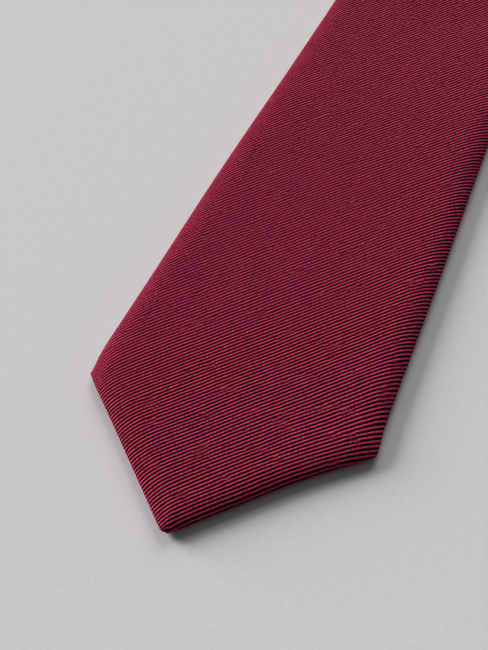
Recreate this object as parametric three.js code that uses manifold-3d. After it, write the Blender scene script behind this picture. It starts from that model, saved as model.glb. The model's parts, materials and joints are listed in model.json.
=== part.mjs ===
// A necktie, lying face up and folded once at the neck, so that its narrow tail lies under and beside
// its front blade. The cloth shell is wrapped round an interlining and closed down the middle of the
// back. Millimetres, +Z up. The front tip points along -Y and the fold is at the +Y end.
import * as THREE from 'three';
import Module from 'manifold-3d';

const wasm = await Module();
wasm.setup();

// Whole tie, laid out flat: s runs along its middle from the front tip, u runs across it
const TIE_LENGTH = 1480;
const FRONT_WIDTH = 80;
const TAIL_WIDTH = 48;
const BLADE_SEAM = 700;
const TAIL_SEAM = 1020;

// Layers, from the face to the back
const CLOTH = 0.5;
const GAP = 0.3;
const INTERLINING = 1.3;
const LINING = 0.4;
const THICKNESS = 2 * CLOTH + INTERLINING + LINING + 3 * GAP;
const HALF = THICKNESS / 2;
const CAVITY_HALF = HALF - CLOTH;
const INTERLINING_TOP = CAVITY_HALF - GAP;
const LINING_BOTTOM = -CAVITY_HALF + GAP;

// Tips: the corner of each tip is a right angle, and a hem is turned in along its two edges
const HEM = 12;
const FLAP_AT_CORNER = 12;
const FRONT_TACK = 150;
const TAIL_TACK = TIE_LENGTH - 92;
const SEAM_SLOT = 1.0;
const LINING_REACH = 50;
const MOUTH_STEPS = 12;

// How it lies: the fold, the raised blade above the tail, and the sideways fan of the tail
const FOLD_RADIUS = 6.6;
const FOLD_START = 862;
const FOLD_TURN = Math.PI * FOLD_RADIUS;
const FOLD_SKEW = 3 * Math.PI / 180;
const FOLD_RISE_LENGTH = 75;
const FOLD_STEPS = 8;
const RISE_START = 205;
const RISE_END = 268;
const RISE_STEPS = 6;
const LIFT_HINGE = 350;
const HINGE_GAP = 0.4;

// Keeper loop, labels and tacks on the back
const KEEPER_GAP = 4.4;
const KEEPER_CLOTH = 0.5;
const KEEPER_START = 270;
const KEEPER_LENGTH = 12;
const KEEPER_INSIDE = 19;
const KEEPER_SLOPE = 4.5;
const KEEPER_TAB = 4;
const KEEPER_SLOPE_STEPS = 4;
const KEEPER_SLOPE_EXTRA = 1.3;
const KEEPER_TACK_MARGIN = 1.5;
const TACK_THICKNESS = 0.4;
const TACK_LENGTH = 1.6;
const BAR_TACK_WIDTH = 9;
const LABEL_THICKNESS = 0.4;
const MAKER_LABEL = { start: 225, length: 28, width: 44 };
const CARE_LABEL = { start: TIE_LENGTH - 135, length: 26, width: 22 };
const THREAD = 0.4;
const THREAD_SUNK = 0.05;
const FRONT_SEAM_LEAD = 8;
const TAIL_SEAM_LEAD = 10;
const TAIL_SEAM_PASSED = 1060;

const BLADE_LIFT = KEEPER_CLOTH + KEEPER_GAP;
const FOLD_LIFT = 2 * FOLD_RADIUS - BLADE_LIFT;
const BACK = -HALF - GAP;

// Half width of the tie along its length, between the corners of the two tips
const WIDTH_POINTS = [
  [FRONT_WIDTH / 2, FRONT_WIDTH / 2],
  [130, 36.3],
  [230, 31.4],
  [350, 26.6],
  [520, 21.8],
  [BLADE_SEAM, 18.5],
  [TAIL_SEAM, 17.5],
  [TIE_LENGTH - TAIL_WIDTH / 2, TAIL_WIDTH / 2],
];

function halfWidth(s) {
  let point = 1;
  while (point < WIDTH_POINTS.length - 1 && s > WIDTH_POINTS[point][0]) {
    point += 1;
  }
  const [s0, w0] = WIDTH_POINTS[point - 1];
  const [s1, w1] = WIDTH_POINTS[point];
  return w0 + (w1 - w0) * (s - s0) / (s1 - s0);
}

function smooth(value) {
  const x = Math.min(1, Math.max(0, value));
  return { rise: x * x * (3 - 2 * x), slope: 6 * x * (1 - x) };
}

// The tie's middle line seen from its side: distance along, height and heading
function sideLine(run) {
  if (run > FOLD_TURN) {
    return { along: FOLD_TURN - run, height: HALF, heading: -Math.PI };
  }
  if (run > 0) {
    const angle = run / FOLD_RADIUS;
    const height = HALF + FOLD_RADIUS * (1 + Math.cos(angle));
    return { along: FOLD_RADIUS * Math.sin(angle), height, heading: -angle };
  }
  const riseLength = RISE_END - RISE_START;
  const blade = smooth((run + FOLD_START - RISE_START) / riseLength);
  const fold = smooth(1 + run / FOLD_RISE_LENGTH);
  const height = HALF + BLADE_LIFT * blade.rise + FOLD_LIFT * fold.rise;
  const slope = BLADE_LIFT * blade.slope / riseLength + FOLD_LIFT * fold.slope / FOLD_RISE_LENGTH;
  return { along: run, height, heading: Math.atan(slope) };
}

// Where a point of the flat tie lies when it is folded; h is its height above the middle layer
function place(u, s, h) {
  const across = new THREE.Vector3(Math.cos(FOLD_SKEW), Math.sin(FOLD_SKEW), 0);
  const ahead = new THREE.Vector3(-Math.sin(FOLD_SKEW), Math.cos(FOLD_SKEW), 0);
  const run = u * ahead.x + (s - FOLD_START) * ahead.y;
  const line = sideLine(run);
  const point = across.clone().multiplyScalar(u * across.x + (s - FOLD_START) * across.y);
  point.addScaledVector(ahead, line.along - h * Math.sin(line.heading));
  point.z = line.height + h * Math.cos(line.heading);
  return point;
}

// A station crosses the tie: straight, as a chevron along the tip edges, or slanted along a seam
function station(s, chevron = 0, slant = 0) {
  return { s, chevron, slant };
}

function along(crossing, u) {
  return crossing.s + crossing.chevron * Math.abs(u) + crossing.slant * u;
}

function foldStation(run) {
  return station(FOLD_START + run / Math.cos(FOLD_SKEW), 0, Math.tan(FOLD_SKEW));
}

function edgeOf(crossing, side) {
  let u = halfWidth(crossing.s);
  for (let pass = 0; pass < 25; pass += 1) {
    u = halfWidth(along(crossing, side * u));
  }
  return side * u;
}

// A solid made of crossings, each of which is a row of columns { u, top, bottom }
function loft(crossings, columnsOf) {
  const positions = [];
  const triangles = [];
  const rows = crossings.map(columnsOf);
  const count = rows[0].length;
  rows.forEach((columns, row) => {
    for (const { u, top, bottom } of columns) {
      const s = along(crossings[row], u);
      positions.push(...place(u, s, top).toArray());
      positions.push(...place(u, s, bottom).toArray());
    }
  });
  const top = (row, column) => 2 * (row * count + column);
  const bottom = (row, column) => top(row, column) + 1;
  const quad = (a, b, c, d) => triangles.push(a, b, c, a, c, d);
  const last = crossings.length - 1;
  const right = count - 1;
  for (let row = 0; row < last; row += 1) {
    for (let column = 0; column < right; column += 1) {
      quad(top(row, column), top(row, column + 1), top(row + 1, column + 1), top(row + 1, column));
      quad(bottom(row, column), bottom(row + 1, column),
        bottom(row + 1, column + 1), bottom(row, column + 1));
    }
    quad(bottom(row, 0), top(row, 0), top(row + 1, 0), bottom(row + 1, 0));
    quad(top(row, right), bottom(row, right), bottom(row + 1, right), top(row + 1, right));
  }
  for (let column = 0; column < right; column += 1) {
    quad(bottom(0, column), bottom(0, column + 1), top(0, column + 1), top(0, column));
    quad(top(last, column), top(last, column + 1), bottom(last, column + 1), bottom(last, column));
  }
  return new wasm.Manifold(new wasm.Mesh({
    numProp: 3,
    vertProperties: new Float32Array(positions),
    triVerts: new Uint32Array(triangles),
  }));
}

// Columns from edge to edge with rounded long edges, inset from the outline by a wall
const ROUND_EDGE = [[0, 0.4], [0.3, 0.8], [1, 1]];

function roundedColumns(crossing, wall) {
  const half = HALF - wall;
  const thin = crossing.thin ?? 1;
  const side = (sign) => {
    const edge = edgeOf(crossing, sign) - sign * wall;
    return ROUND_EDGE.map(([inset, height]) => {
      const top = half * height * thin;
      return { u: edge - sign * inset * half, top, bottom: -top };
    });
  };
  const middle = { u: 0, top: half * thin, bottom: -half * thin };
  return [...side(-1), middle, ...side(1).reverse()];
}

function flatColumns(crossing, inset, bottom, thickness) {
  const top = bottom + thickness;
  const left = edgeOf(crossing, -1) + inset;
  const right = edgeOf(crossing, 1) - inset;
  return [left, 0, right].map((u) => ({ u, top, bottom }));
}

function bandColumns(halfSpan, bottom, top) {
  return [-halfSpan, 0, halfSpan].map((u) => ({ u, top, bottom }));
}

// The crossings of each length of the tie
const TIP_ROUND = 1.2;

function tipCrossings(tip, direction, wall) {
  const start = tip + direction * wall * Math.SQRT2;
  const first = { ...station(start, direction), thin: 0.5 };
  return [first, station(start + direction * TIP_ROUND, direction)];
}

const bladeLowerSteps = [
  station(18, 1), station(60, 1), station(110, 0.8), station(150, 0.6), station(180, 0.3),
];
for (let step = 0; step <= RISE_STEPS; step += 1) {
  bladeLowerSteps.push(station(RISE_START + (RISE_END - RISE_START) * step / RISE_STEPS));
}
bladeLowerSteps.push(station(305));
const bladeUpperSteps = [station(LIFT_HINGE + HINGE_GAP), station(440), station(560), station(640)];
const neckFrontSteps = [station(738), station(FOLD_START - FOLD_RISE_LENGTH)];
for (let step = 1; step < 6; step += 1) {
  neckFrontSteps.push(foldStation(-FOLD_RISE_LENGTH * (1 - step / 6)));
}
for (let step = 0; step < FOLD_STEPS; step += 1) {
  neckFrontSteps.push(foldStation(FOLD_TURN / 2 * step / FOLD_STEPS));
}
neckFrontSteps.push(foldStation(FOLD_TURN / 2 - HINGE_GAP));
const neckRearSteps = [foldStation(FOLD_TURN / 2 + HINGE_GAP)];
for (let step = 1; step <= FOLD_STEPS; step += 1) {
  neckRearSteps.push(foldStation(FOLD_TURN / 2 * (1 + step / FOLD_STEPS)));
}
neckRearSteps.push(station(960));
const tailSteps = [station(TAIL_SEAM_PASSED), station(1250), station(1400, -0.5), station(1462, -1)];

function seam(s) {
  return station(s, 0, 1);
}

// Cuts that open the shell: the cavity, the slot of the back seam, and the mouth at each tip
function cavity(crossings) {
  return loft(crossings, (crossing) => roundedColumns(crossing, CLOTH));
}

function outer(crossings) {
  return loft(crossings, (crossing) => roundedColumns(crossing, 0));
}

function throughBack(crossings, halfSpanOf) {
  return loft(crossings, (crossing) => bandColumns(halfSpanOf(crossing), BACK - CLOTH, 0));
}

function backSlot(crossings) {
  return throughBack(crossings, () => SEAM_SLOT / 2);
}

// A bar tack lies level with the back, in a recess that reaches past it on every side
function tackRecess(s) {
  const reach = TACK_LENGTH / 2 + GAP;
  return throughBack([station(s - reach), station(s + reach)], () => BAR_TACK_WIDTH / 2 + GAP);
}

function barTack(s) {
  const bottom = -HALF + (CLOTH - TACK_THICKNESS) / 2;
  const crossings = [station(s - TACK_LENGTH / 2), station(s + TACK_LENGTH / 2)];
  return loft(crossings, () => bandColumns(BAR_TACK_WIDTH / 2, bottom, bottom + TACK_THICKNESS));
}

// The flaps part from the tack towards the corners, and leave a mouth in which the lining shows
function mouth(tip, tack, direction) {
  const cornerU = (direction > 0 ? FRONT_WIDTH : TAIL_WIDTH) / 2 - FLAP_AT_CORNER;
  const hemStation = tip + direction * HEM * Math.SQRT2;
  const reach = Math.abs(tack - hemStation);
  const steps = MOUTH_STEPS;
  const crossings = [];
  for (let step = 0; step <= steps; step += 1) {
    crossings.push(station(hemStation + direction * reach * step / steps, direction));
  }
  if (direction < 0) {
    crossings.reverse();
  }
  const narrowing = (crossing) => 1 - Math.abs(crossing.s - hemStation) / reach;
  const widest = cornerU - SEAM_SLOT / 2;
  return throughBack(crossings, (crossing) => SEAM_SLOT / 2 + widest * narrowing(crossing));
}

function extended(crossings, ends) {
  const list = [...crossings];
  if (ends.start) {
    list[0] = { ...list[0], s: list[0].s - 1 };
  }
  if (ends.finish) {
    const last = list.length - 1;
    list[last] = { ...list[last], s: list[last].s + 1 };
  }
  return list;
}

function tubeShell(crossings) {
  const open = extended(crossings, { start: true, finish: true });
  return outer(crossings).subtract(cavity(open)).subtract(backSlot(open));
}

function frontShell() {
  const end = station(LIFT_HINGE - HINGE_GAP);
  const inside = [...tipCrossings(0, 1, CLOTH), ...bladeLowerSteps, end];
  const slot = [station(FRONT_TACK - 1), ...bladeLowerSteps.slice(5), end];
  return outer([...tipCrossings(0, 1, 0), ...bladeLowerSteps, end])
    .subtract(cavity(extended(inside, { finish: true })))
    .subtract(backSlot(extended(slot, { finish: true })))
    .subtract(mouth(0, FRONT_TACK, 1))
    .subtract(tackRecess(FRONT_TACK));
}

function tailShell() {
  const start = seam(TAIL_SEAM + GAP);
  const inside = [start, ...tailSteps, ...tipCrossings(TIE_LENGTH, -1, CLOTH).reverse()];
  const slot = [start, station(TAIL_SEAM_PASSED), station(TAIL_TACK + 1)];
  return outer([start, ...tailSteps, ...tipCrossings(TIE_LENGTH, -1, 0).reverse()])
    .subtract(cavity(extended(inside, { start: true })))
    .subtract(backSlot(extended(slot, { start: true })))
    .subtract(mouth(TIE_LENGTH, TAIL_TACK, -1))
    .subtract(tackRecess(TAIL_TACK));
}

// Inner pieces
const INNER_INSET = CLOTH + 1.6;
const INNER_TIP = 2.5;

function interlining(crossings) {
  const bottom = INTERLINING_TOP - INTERLINING;
  return loft(crossings, (crossing) => flatColumns(crossing, INNER_INSET, bottom, INTERLINING));
}

function lining(crossings) {
  return loft(crossings, (crossing) => flatColumns(crossing, INNER_INSET, LINING_BOTTOM, LINING));
}

function slipStitch(crossings) {
  const bottom = -HALF + THREAD_SUNK;
  return loft(crossings, () => bandColumns(THREAD / 2, bottom, bottom + THREAD));
}

// Flat pieces sewn on the back
function onBack({ start, length, width }, thickness) {
  const steps = Math.max(1, Math.ceil(length / 12));
  const crossings = [];
  for (let step = 0; step <= steps; step += 1) {
    crossings.push(station(start + length * step / steps));
  }
  return loft(crossings, () => bandColumns(width / 2, BACK - thickness, BACK));
}

// The keeper drops from a flat tab on each side to a band that clears the back by its gap
const KEEPER_DROP = KEEPER_GAP - GAP;

function keeperColumns() {
  const side = (sign) => {
    const columns = [{ u: sign * (KEEPER_INSIDE + KEEPER_SLOPE + KEEPER_TAB), drop: 0 }];
    for (let step = 0; step <= KEEPER_SLOPE_STEPS; step += 1) {
      const part = step / KEEPER_SLOPE_STEPS;
      const u = sign * (KEEPER_INSIDE + KEEPER_SLOPE * (1 - part));
      columns.push({ u, drop: smooth(part).rise });
    }
    return columns;
  };
  return [...side(-1), ...side(1).reverse()].map(({ u, drop }) => {
    const top = BACK - KEEPER_DROP * drop;
    const onSlope = drop > 0 && drop < 1;
    return { u, top, bottom: top - KEEPER_CLOTH * (onSlope ? KEEPER_SLOPE_EXTRA : 1) };
  });
}

function keeperLoop() {
  const crossings = [station(KEEPER_START), station(KEEPER_START + KEEPER_LENGTH)];
  return loft(crossings, keeperColumns);
}

function keeperTack(side) {
  const middle = side * (KEEPER_INSIDE + KEEPER_SLOPE + KEEPER_TAB / 2);
  const top = BACK - KEEPER_CLOTH - GAP;
  const start = KEEPER_START + KEEPER_TACK_MARGIN;
  const finish = KEEPER_START + KEEPER_LENGTH - KEEPER_TACK_MARGIN;
  const crossings = [station(start), station(finish)];
  const halfSpan = TACK_LENGTH / 2;
  return loft(crossings, () => bandColumns(halfSpan, top - TACK_THICKNESS, top)
    .map((column) => ({ ...column, u: column.u + middle })));
}

// Colours and surfaces
const CLOTHS = {
  silk: { color: 0x74213a, roughness: 0.55, metalness: 0 },
  lining: { color: 0x5c1a2e, roughness: 0.4, metalness: 0 },
  interlining: { color: 0xd9d2c3, roughness: 0.95, metalness: 0 },
  thread: { color: 0x8a2c48, roughness: 0.6, metalness: 0 },
  label: { color: 0xe9e4da, roughness: 0.5, metalness: 0 },
};

const tie = new THREE.Group();

function add(name, solid, cloth) {
  const mesh = solid.getMesh();
  const geometry = new THREE.BufferGeometry();
  geometry.setAttribute('position', new THREE.BufferAttribute(mesh.vertProperties, 3));
  geometry.setIndex(new THREE.BufferAttribute(mesh.triVerts, 1));
  geometry.computeVertexNormals();
  const part = new THREE.Mesh(geometry, new THREE.MeshStandardMaterial(CLOTHS[cloth]));
  part.name = name;
  tie.add(part);
}

// Cloth shell
const neckFront = [seam(BLADE_SEAM + GAP), ...neckFrontSteps];
const neckRear = [...neckRearSteps, seam(TAIL_SEAM)];
add('front_blade_lower', frontShell(), 'silk');
add('front_blade_upper', tubeShell([...bladeUpperSteps, seam(BLADE_SEAM)]), 'silk');
add('neck_front', tubeShell(neckFront), 'silk');
add('neck_rear', tubeShell(neckRear), 'silk');
add('tail_blade', tailShell(), 'silk');

// Interlining and tip linings
const lowerInner = [station(INNER_TIP * Math.SQRT2, 1), ...bladeLowerSteps];
const tailInnerTip = station(TIE_LENGTH - INNER_TIP * Math.SQRT2, -1);
add('interlining_lower', interlining([...lowerInner, station(LIFT_HINGE - HINGE_GAP)]), 'interlining');
add('interlining_upper', interlining([...bladeUpperSteps, ...neckFrontSteps]), 'interlining');
add('interlining_tail', interlining([...neckRearSteps, ...tailSteps, tailInnerTip]), 'interlining');
add('front_tipping', lining([...lowerInner.slice(0, 6), station(FRONT_TACK + LINING_REACH)]), 'lining');
const tailLining = [station(TAIL_TACK - LINING_REACH), ...tailSteps.slice(2), tailInnerTip];
add('tail_tipping', lining(tailLining), 'lining');

// Back seam
const lowerSeamStart = station(FRONT_TACK + FRONT_SEAM_LEAD);
const lowerSeamEnd = station(LIFT_HINGE - HINGE_GAP);
const lowerSeam = [lowerSeamStart, ...bladeLowerSteps.slice(5), lowerSeamEnd];
const tailSeam = [...neckRearSteps, station(TAIL_SEAM_PASSED), station(TAIL_TACK - TAIL_SEAM_LEAD)];
add('slip_stitch_lower', slipStitch(lowerSeam), 'thread');
add('slip_stitch_upper', slipStitch([...bladeUpperSteps, ...neckFrontSteps]), 'thread');
add('slip_stitch_tail', slipStitch(tailSeam), 'thread');
add('front_bar_tack', barTack(FRONT_TACK), 'thread');
add('tail_bar_tack', barTack(TAIL_TACK), 'thread');

// Keeper and labels
add('keeper_loop', keeperLoop(), 'silk');
add('keeper_tack_left', keeperTack(-1), 'thread');
add('keeper_tack_right', keeperTack(1), 'thread');
add('maker_label', onBack(MAKER_LABEL, LABEL_THICKNESS), 'label');
add('care_label', onBack(CARE_LABEL, LABEL_THICKNESS), 'label');

// The origin is under the middle of the whole tie as it lies
const box = new THREE.Box3().setFromObject(tie);
const centre = box.getCenter(new THREE.Vector3());
tie.position.set(-centre.x, -centre.y, -box.min.z);
tie.updateMatrixWorld(true);

export default tie;
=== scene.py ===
"""A burgundy ribbed-silk necktie, lying face up and folded once at the neck, tail fanned out below."""
import json
import math

import bpy
import numpy as np
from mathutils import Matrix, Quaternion, Vector


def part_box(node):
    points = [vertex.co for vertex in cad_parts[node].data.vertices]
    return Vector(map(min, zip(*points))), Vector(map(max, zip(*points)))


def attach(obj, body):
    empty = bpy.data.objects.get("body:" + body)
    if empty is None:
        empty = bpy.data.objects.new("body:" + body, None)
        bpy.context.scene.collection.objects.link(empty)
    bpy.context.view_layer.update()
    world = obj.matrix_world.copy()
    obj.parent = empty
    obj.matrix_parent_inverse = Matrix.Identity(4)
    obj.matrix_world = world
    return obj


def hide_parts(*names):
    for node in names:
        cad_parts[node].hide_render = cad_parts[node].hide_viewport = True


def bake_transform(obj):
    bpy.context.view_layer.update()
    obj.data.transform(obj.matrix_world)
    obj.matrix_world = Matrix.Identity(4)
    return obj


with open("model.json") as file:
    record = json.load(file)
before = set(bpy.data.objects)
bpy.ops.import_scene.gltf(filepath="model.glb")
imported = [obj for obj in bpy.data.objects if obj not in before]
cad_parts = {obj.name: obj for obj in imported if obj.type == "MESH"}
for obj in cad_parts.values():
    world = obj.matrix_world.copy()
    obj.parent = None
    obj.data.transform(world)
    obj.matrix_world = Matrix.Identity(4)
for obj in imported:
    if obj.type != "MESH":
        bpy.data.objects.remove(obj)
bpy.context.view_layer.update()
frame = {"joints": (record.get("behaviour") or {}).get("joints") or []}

MM = 0.001
UP = np.array([0.0, 0.0, 1.0])
TINY = 1e-9

# ---------------------------------------------------------------- sizes, laid out flat
# s runs along the middle of the tie from the front tip, u runs across it, and h is the height
# above the middle layer. c is where a crossing of the tie meets the middle line.
LENGTH = 1480 * MM
BLADE_SEAM = 700 * MM
TAIL_SEAM = 1020 * MM
WIDTHS = MM * np.array([
    (40, 40), (130, 36.3), (230, 31.4), (350, 26.6), (520, 21.8),
    (700, 18.5), (1020, 17.5), (1456, 24),
])
HEM = 12 * MM
FLAP_AT_CORNER = 12 * MM
FRONT_TACK = 150 * MM
TAIL_TACK = 92 * MM
RISE_START = 205 * MM
RISE_END = 268 * MM
FOLD_RISE_LENGTH = 75 * MM
ROOT2 = math.sqrt(2)

# ---------------------------------------------------------------- places, from the frame
joints = {joint["name"]: joint for joint in frame["joints"]}
tail_low, tail_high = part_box("tail_blade")
blade_low, blade_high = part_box("front_blade_lower")
HALF = (tail_high.z - tail_low.z) / 2
TIP = Vector(((blade_low.x + blade_high.x) / 2, blade_low.y, 0))
BLADE_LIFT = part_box("front_blade_upper")[0].z
fold_apex = Vector(joints["neck_fold"]["pos_m"])
ACROSS = Vector(joints["neck_fold"]["axis"]).normalized()
AHEAD = Vector((-ACROSS.y, ACROSS.x, 0))
FOLD_RADIUS = fold_apex.z - HALF
FOLD_TURN = math.pi * FOLD_RADIUS
FOLD_LIFT = 2 * FOLD_RADIUS - BLADE_LIFT
fold_origin = fold_apex - AHEAD * (FOLD_RADIUS + HALF)
FOLD_START = fold_origin.y - TIP.y
LIFT_HINGE = joints["blade_lift"]["pos_m"][1] - TIP.y

# ---------------------------------------------------------------- camera
CAMERA_TARGET = TIP + Vector((-7.6, 68.5, 0)) * MM
CAMERA_AZIMUTH = math.radians(29.13)
CAMERA_ELEVATION = math.radians(48.45)
CAMERA_DISTANCE = 371 * MM
CAMERA_ROLL = math.radians(8.81)
CAMERA_LENS = 76.6
CAMERA_SENSOR = 36
CAMERA_CLIP = (0.01, 20)


def make_camera():
    """The photograph's camera, fitted to the outline of the blade."""
    data = bpy.data.cameras.new("camera")
    data.lens = CAMERA_LENS
    data.sensor_width = CAMERA_SENSOR
    data.clip_start, data.clip_end = CAMERA_CLIP
    camera = bpy.data.objects.new("camera", data)
    bpy.context.scene.collection.objects.link(camera)
    level = math.cos(CAMERA_ELEVATION)
    back = Vector((
        math.sin(CAMERA_AZIMUTH) * level,
        -math.cos(CAMERA_AZIMUTH) * level,
        math.sin(CAMERA_ELEVATION),
    ))
    camera.location = CAMERA_TARGET + back * CAMERA_DISTANCE
    camera.rotation_mode = "QUATERNION"
    roll = Quaternion((0, 0, 1), -CAMERA_ROLL)
    camera.rotation_quaternion = (-back).to_track_quat("-Z", "Y") @ roll
    bpy.context.scene.camera = camera


make_camera()


# ---------------------------------------------------------------- how the tie lies
def ease(x):
    """A smooth step: 0 up to x = 0, and 1 from x = 1 on."""
    x = np.clip(x, 0, 1)
    return x * x * (3 - 2 * x)


def ease_slope(x):
    """How steep ease is at x."""
    x = np.clip(x, 0, 1)
    return 6 * x * (1 - x)


def side_line(run):
    """How far ahead the middle layer is, its height and its heading, run along it from the fold."""
    rise_length = RISE_END - RISE_START
    blade = (run + FOLD_START - RISE_START) / rise_length
    fold = 1 + run / FOLD_RISE_LENGTH
    height = HALF + BLADE_LIFT * ease(blade) + FOLD_LIFT * ease(fold)
    slope = BLADE_LIFT * ease_slope(blade) / rise_length
    slope = slope + FOLD_LIFT * ease_slope(fold) / FOLD_RISE_LENGTH
    angle = np.clip(run / FOLD_RADIUS, 0, math.pi)
    ahead = np.where(run > 0, FOLD_RADIUS * np.sin(angle), run)
    ahead = ahead - np.maximum(run - FOLD_TURN, 0)
    height = np.where(run > 0, HALF + FOLD_RADIUS * (1 + np.cos(angle)), height)
    heading = np.where(run > 0, -angle, np.arctan(slope))
    return ahead, height, heading


# How far the blade and the tail drift sideways, and between which s
BLADE_SWAY = 1.6 * MM
BLADE_SWAY_START = 300 * MM
BLADE_SWAY_END = 840 * MM
TAIL_SWAY = 2.4 * MM
TAIL_SWAY_START = 900 * MM
SWAY_EASE = 200 * MM
TAIL_SWAY_EASE = 250 * MM


def sway(s):
    """A tie doesn't lie ruler straight: a slow sideways drift, away from its tips and its fold."""
    blade = ease((s - BLADE_SWAY_START) / SWAY_EASE) * ease((BLADE_SWAY_END - s) / SWAY_EASE)
    tail = ease((s - TAIL_SWAY_START) / SWAY_EASE) * ease((LENGTH - s) / TAIL_SWAY_EASE)
    return BLADE_SWAY * blade - TAIL_SWAY * tail


def place(u, s, h):
    """Where points of the flat tie lie, as an array of xyz."""
    u, s, h = np.broadcast_arrays(u, s, h)
    u = u + sway(s)
    run = u * AHEAD.x + (s - FOLD_START) * AHEAD.y
    side = u * ACROSS.x + (s - FOLD_START) * ACROSS.y
    ahead, height, heading = side_line(run)
    ahead = ahead - h * np.sin(heading)
    x = fold_origin.x + ACROSS.x * side + AHEAD.x * ahead
    y = fold_origin.y + ACROSS.y * side + AHEAD.y * ahead
    return np.stack([x, y, height + h * np.cos(heading)], axis=-1)


def half_width(s):
    """Half the tie's width at s: a smooth curve through WIDTHS, straight beyond its ends."""
    at, width = WIDTHS.T
    slopes = np.gradient(width, at)
    k = np.clip(np.searchsorted(at, s) - 1, 0, len(at) - 2)
    step = at[k + 1] - at[k]
    t = (s - at[k]) / step
    v = np.clip(t, 0, 1)
    start = (1 + 2 * v) * (1 - v) ** 2 * width[k] + v * (1 - v) ** 2 * step * slopes[k]
    finish = v * v * (3 - 2 * v) * width[k + 1] + v * v * (v - 1) * step * slopes[k + 1]
    beyond = (t - v) * step * np.where(t < 0, slopes[0], slopes[-1])
    return start + finish + beyond


EDGE_WAVE = 0.14 * MM


def waviness(s, side):
    """The small unevenness of a pressed edge: two waves that never quite repeat."""
    slow = np.sin(s / (31 * MM) + 2.1 * side)
    quick = np.sin(s / (13.7 * MM) + 0.9 * side)
    return EDGE_WAVE * (slow + 0.6 * quick)


def relief(u, s):
    """Soft unevenness of the top, from 0 to 1, from three waves that cross."""
    a = np.sin(u / (6.1 * MM) + 1.7 * np.sin(s / (23 * MM)))
    b = np.sin(s / (9.3 * MM) + 1.3 * np.sin(u / (8.7 * MM)) + 1)
    d = np.sin((u + s) / (14 * MM) + 2)
    return 0.5 + (a + b + d) / 6


# ---------------------------------------------------------------- meshes
def new_piece(name, points, faces, cloth, material):
    """A mesh object; cloth holds each point's place on the flat cloth, for its material."""
    mesh = bpy.data.meshes.new(name)
    mesh.from_pydata(points.reshape(-1, 3).tolist(), [], faces)
    mesh.update()
    flat = np.zeros((len(mesh.vertices), 3), np.float32)
    flat[:, :2] = cloth.reshape(-1, 2)
    layer = mesh.attributes.new("cloth", "FLOAT_VECTOR", "POINT")
    layer.data.foreach_set("vector", flat.ravel())
    mesh.polygons.foreach_set("use_smooth", [True] * len(mesh.polygons))
    mesh.materials.append(material)
    piece = bpy.data.objects.new(name, mesh)
    bpy.context.scene.collection.objects.link(piece)
    return piece


def grid_faces(rows, columns, first=0, flip=False, skip=None):
    """Quads of a grid of points that are stored row by row."""
    faces = []
    for row in range(rows - 1):
        for column in range(columns - 1):
            if skip is not None and skip(row, column):
                continue
            a = first + row * columns + column
            quad = (a, a + 1, a + columns + 1, a + columns)
            faces.append(quad[::-1] if flip else quad)
    return faces


BAKE_MARGIN = 0.02


def unroll(piece, lanes):
    """A UV map for baking: the flat cloth, cut across into lanes that lie side by side."""
    mesh = piece.data
    flat = np.empty(3 * len(mesh.vertices), np.float32)
    mesh.attributes["cloth"].data.foreach_get("vector", flat)
    x, y = flat.reshape(-1, 3)[:, 0], flat.reshape(-1, 3)[:, 1]
    corner = np.empty(len(mesh.loops), np.int32)
    mesh.loops.foreach_get("vertex_index", corner)
    sides = np.empty(len(mesh.polygons), np.int32)
    mesh.polygons.foreach_get("loop_total", sides)
    first = np.concatenate([[0], np.cumsum(sides)[:-1]])
    height = (y.max() - y.min()) / lanes
    middle = np.add.reduceat(y[corner], first) / sides
    lane = np.repeat(np.clip((middle - y.min()) // height, 0, lanes - 1), sides)
    inner = 1 - 2 * BAKE_MARGIN
    across = BAKE_MARGIN + inner * (x[corner] - x.min()) / (x.max() - x.min())
    up = BAKE_MARGIN + inner * ((y[corner] - y.min()) / height - lane)
    uv = np.stack([(lane + across) / lanes, up], axis=-1).astype(np.float32)
    mesh.uv_layers.new(name="OFBake").data.foreach_set("uv", uv.ravel())


def bend_along(piece, s):
    """Lays the mesh out straight by distance along the cloth, applies the piece's transform to it, and
    puts its points back where they lay."""
    lying = np.empty(len(piece.data.vertices) * 3)
    piece.data.vertices.foreach_get("co", lying)
    straight = np.zeros((len(piece.data.vertices), 3))
    straight[:, 1] = np.ravel(s)
    piece.data.vertices.foreach_set("co", straight.ravel())
    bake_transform(piece)
    piece.data.vertices.foreach_set("co", lying)
    piece.data.update()


BLADE_ZONE = 28 * MM
FOLD_ZONE = 20 * MM
FOLD_MIDDLE = FOLD_START + FOLD_TURN / 2


def bend_at_hinge(piece, s):
    """Runs bend_along on a piece of the front blade, with its points' s."""
    bend_along(
        piece, s,
    )


def past_fold(u, s):
    """How far along the tie a point is, square to the fold, which lies slightly askew."""
    return FOLD_START + u * AHEAD.x + (s - FOLD_START) * AHEAD.y


def bend_at_fold(piece, along):
    """Runs bend_along on a piece, with how far past the fold its points are."""
    bend_along(
        piece, along,
    )


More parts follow.
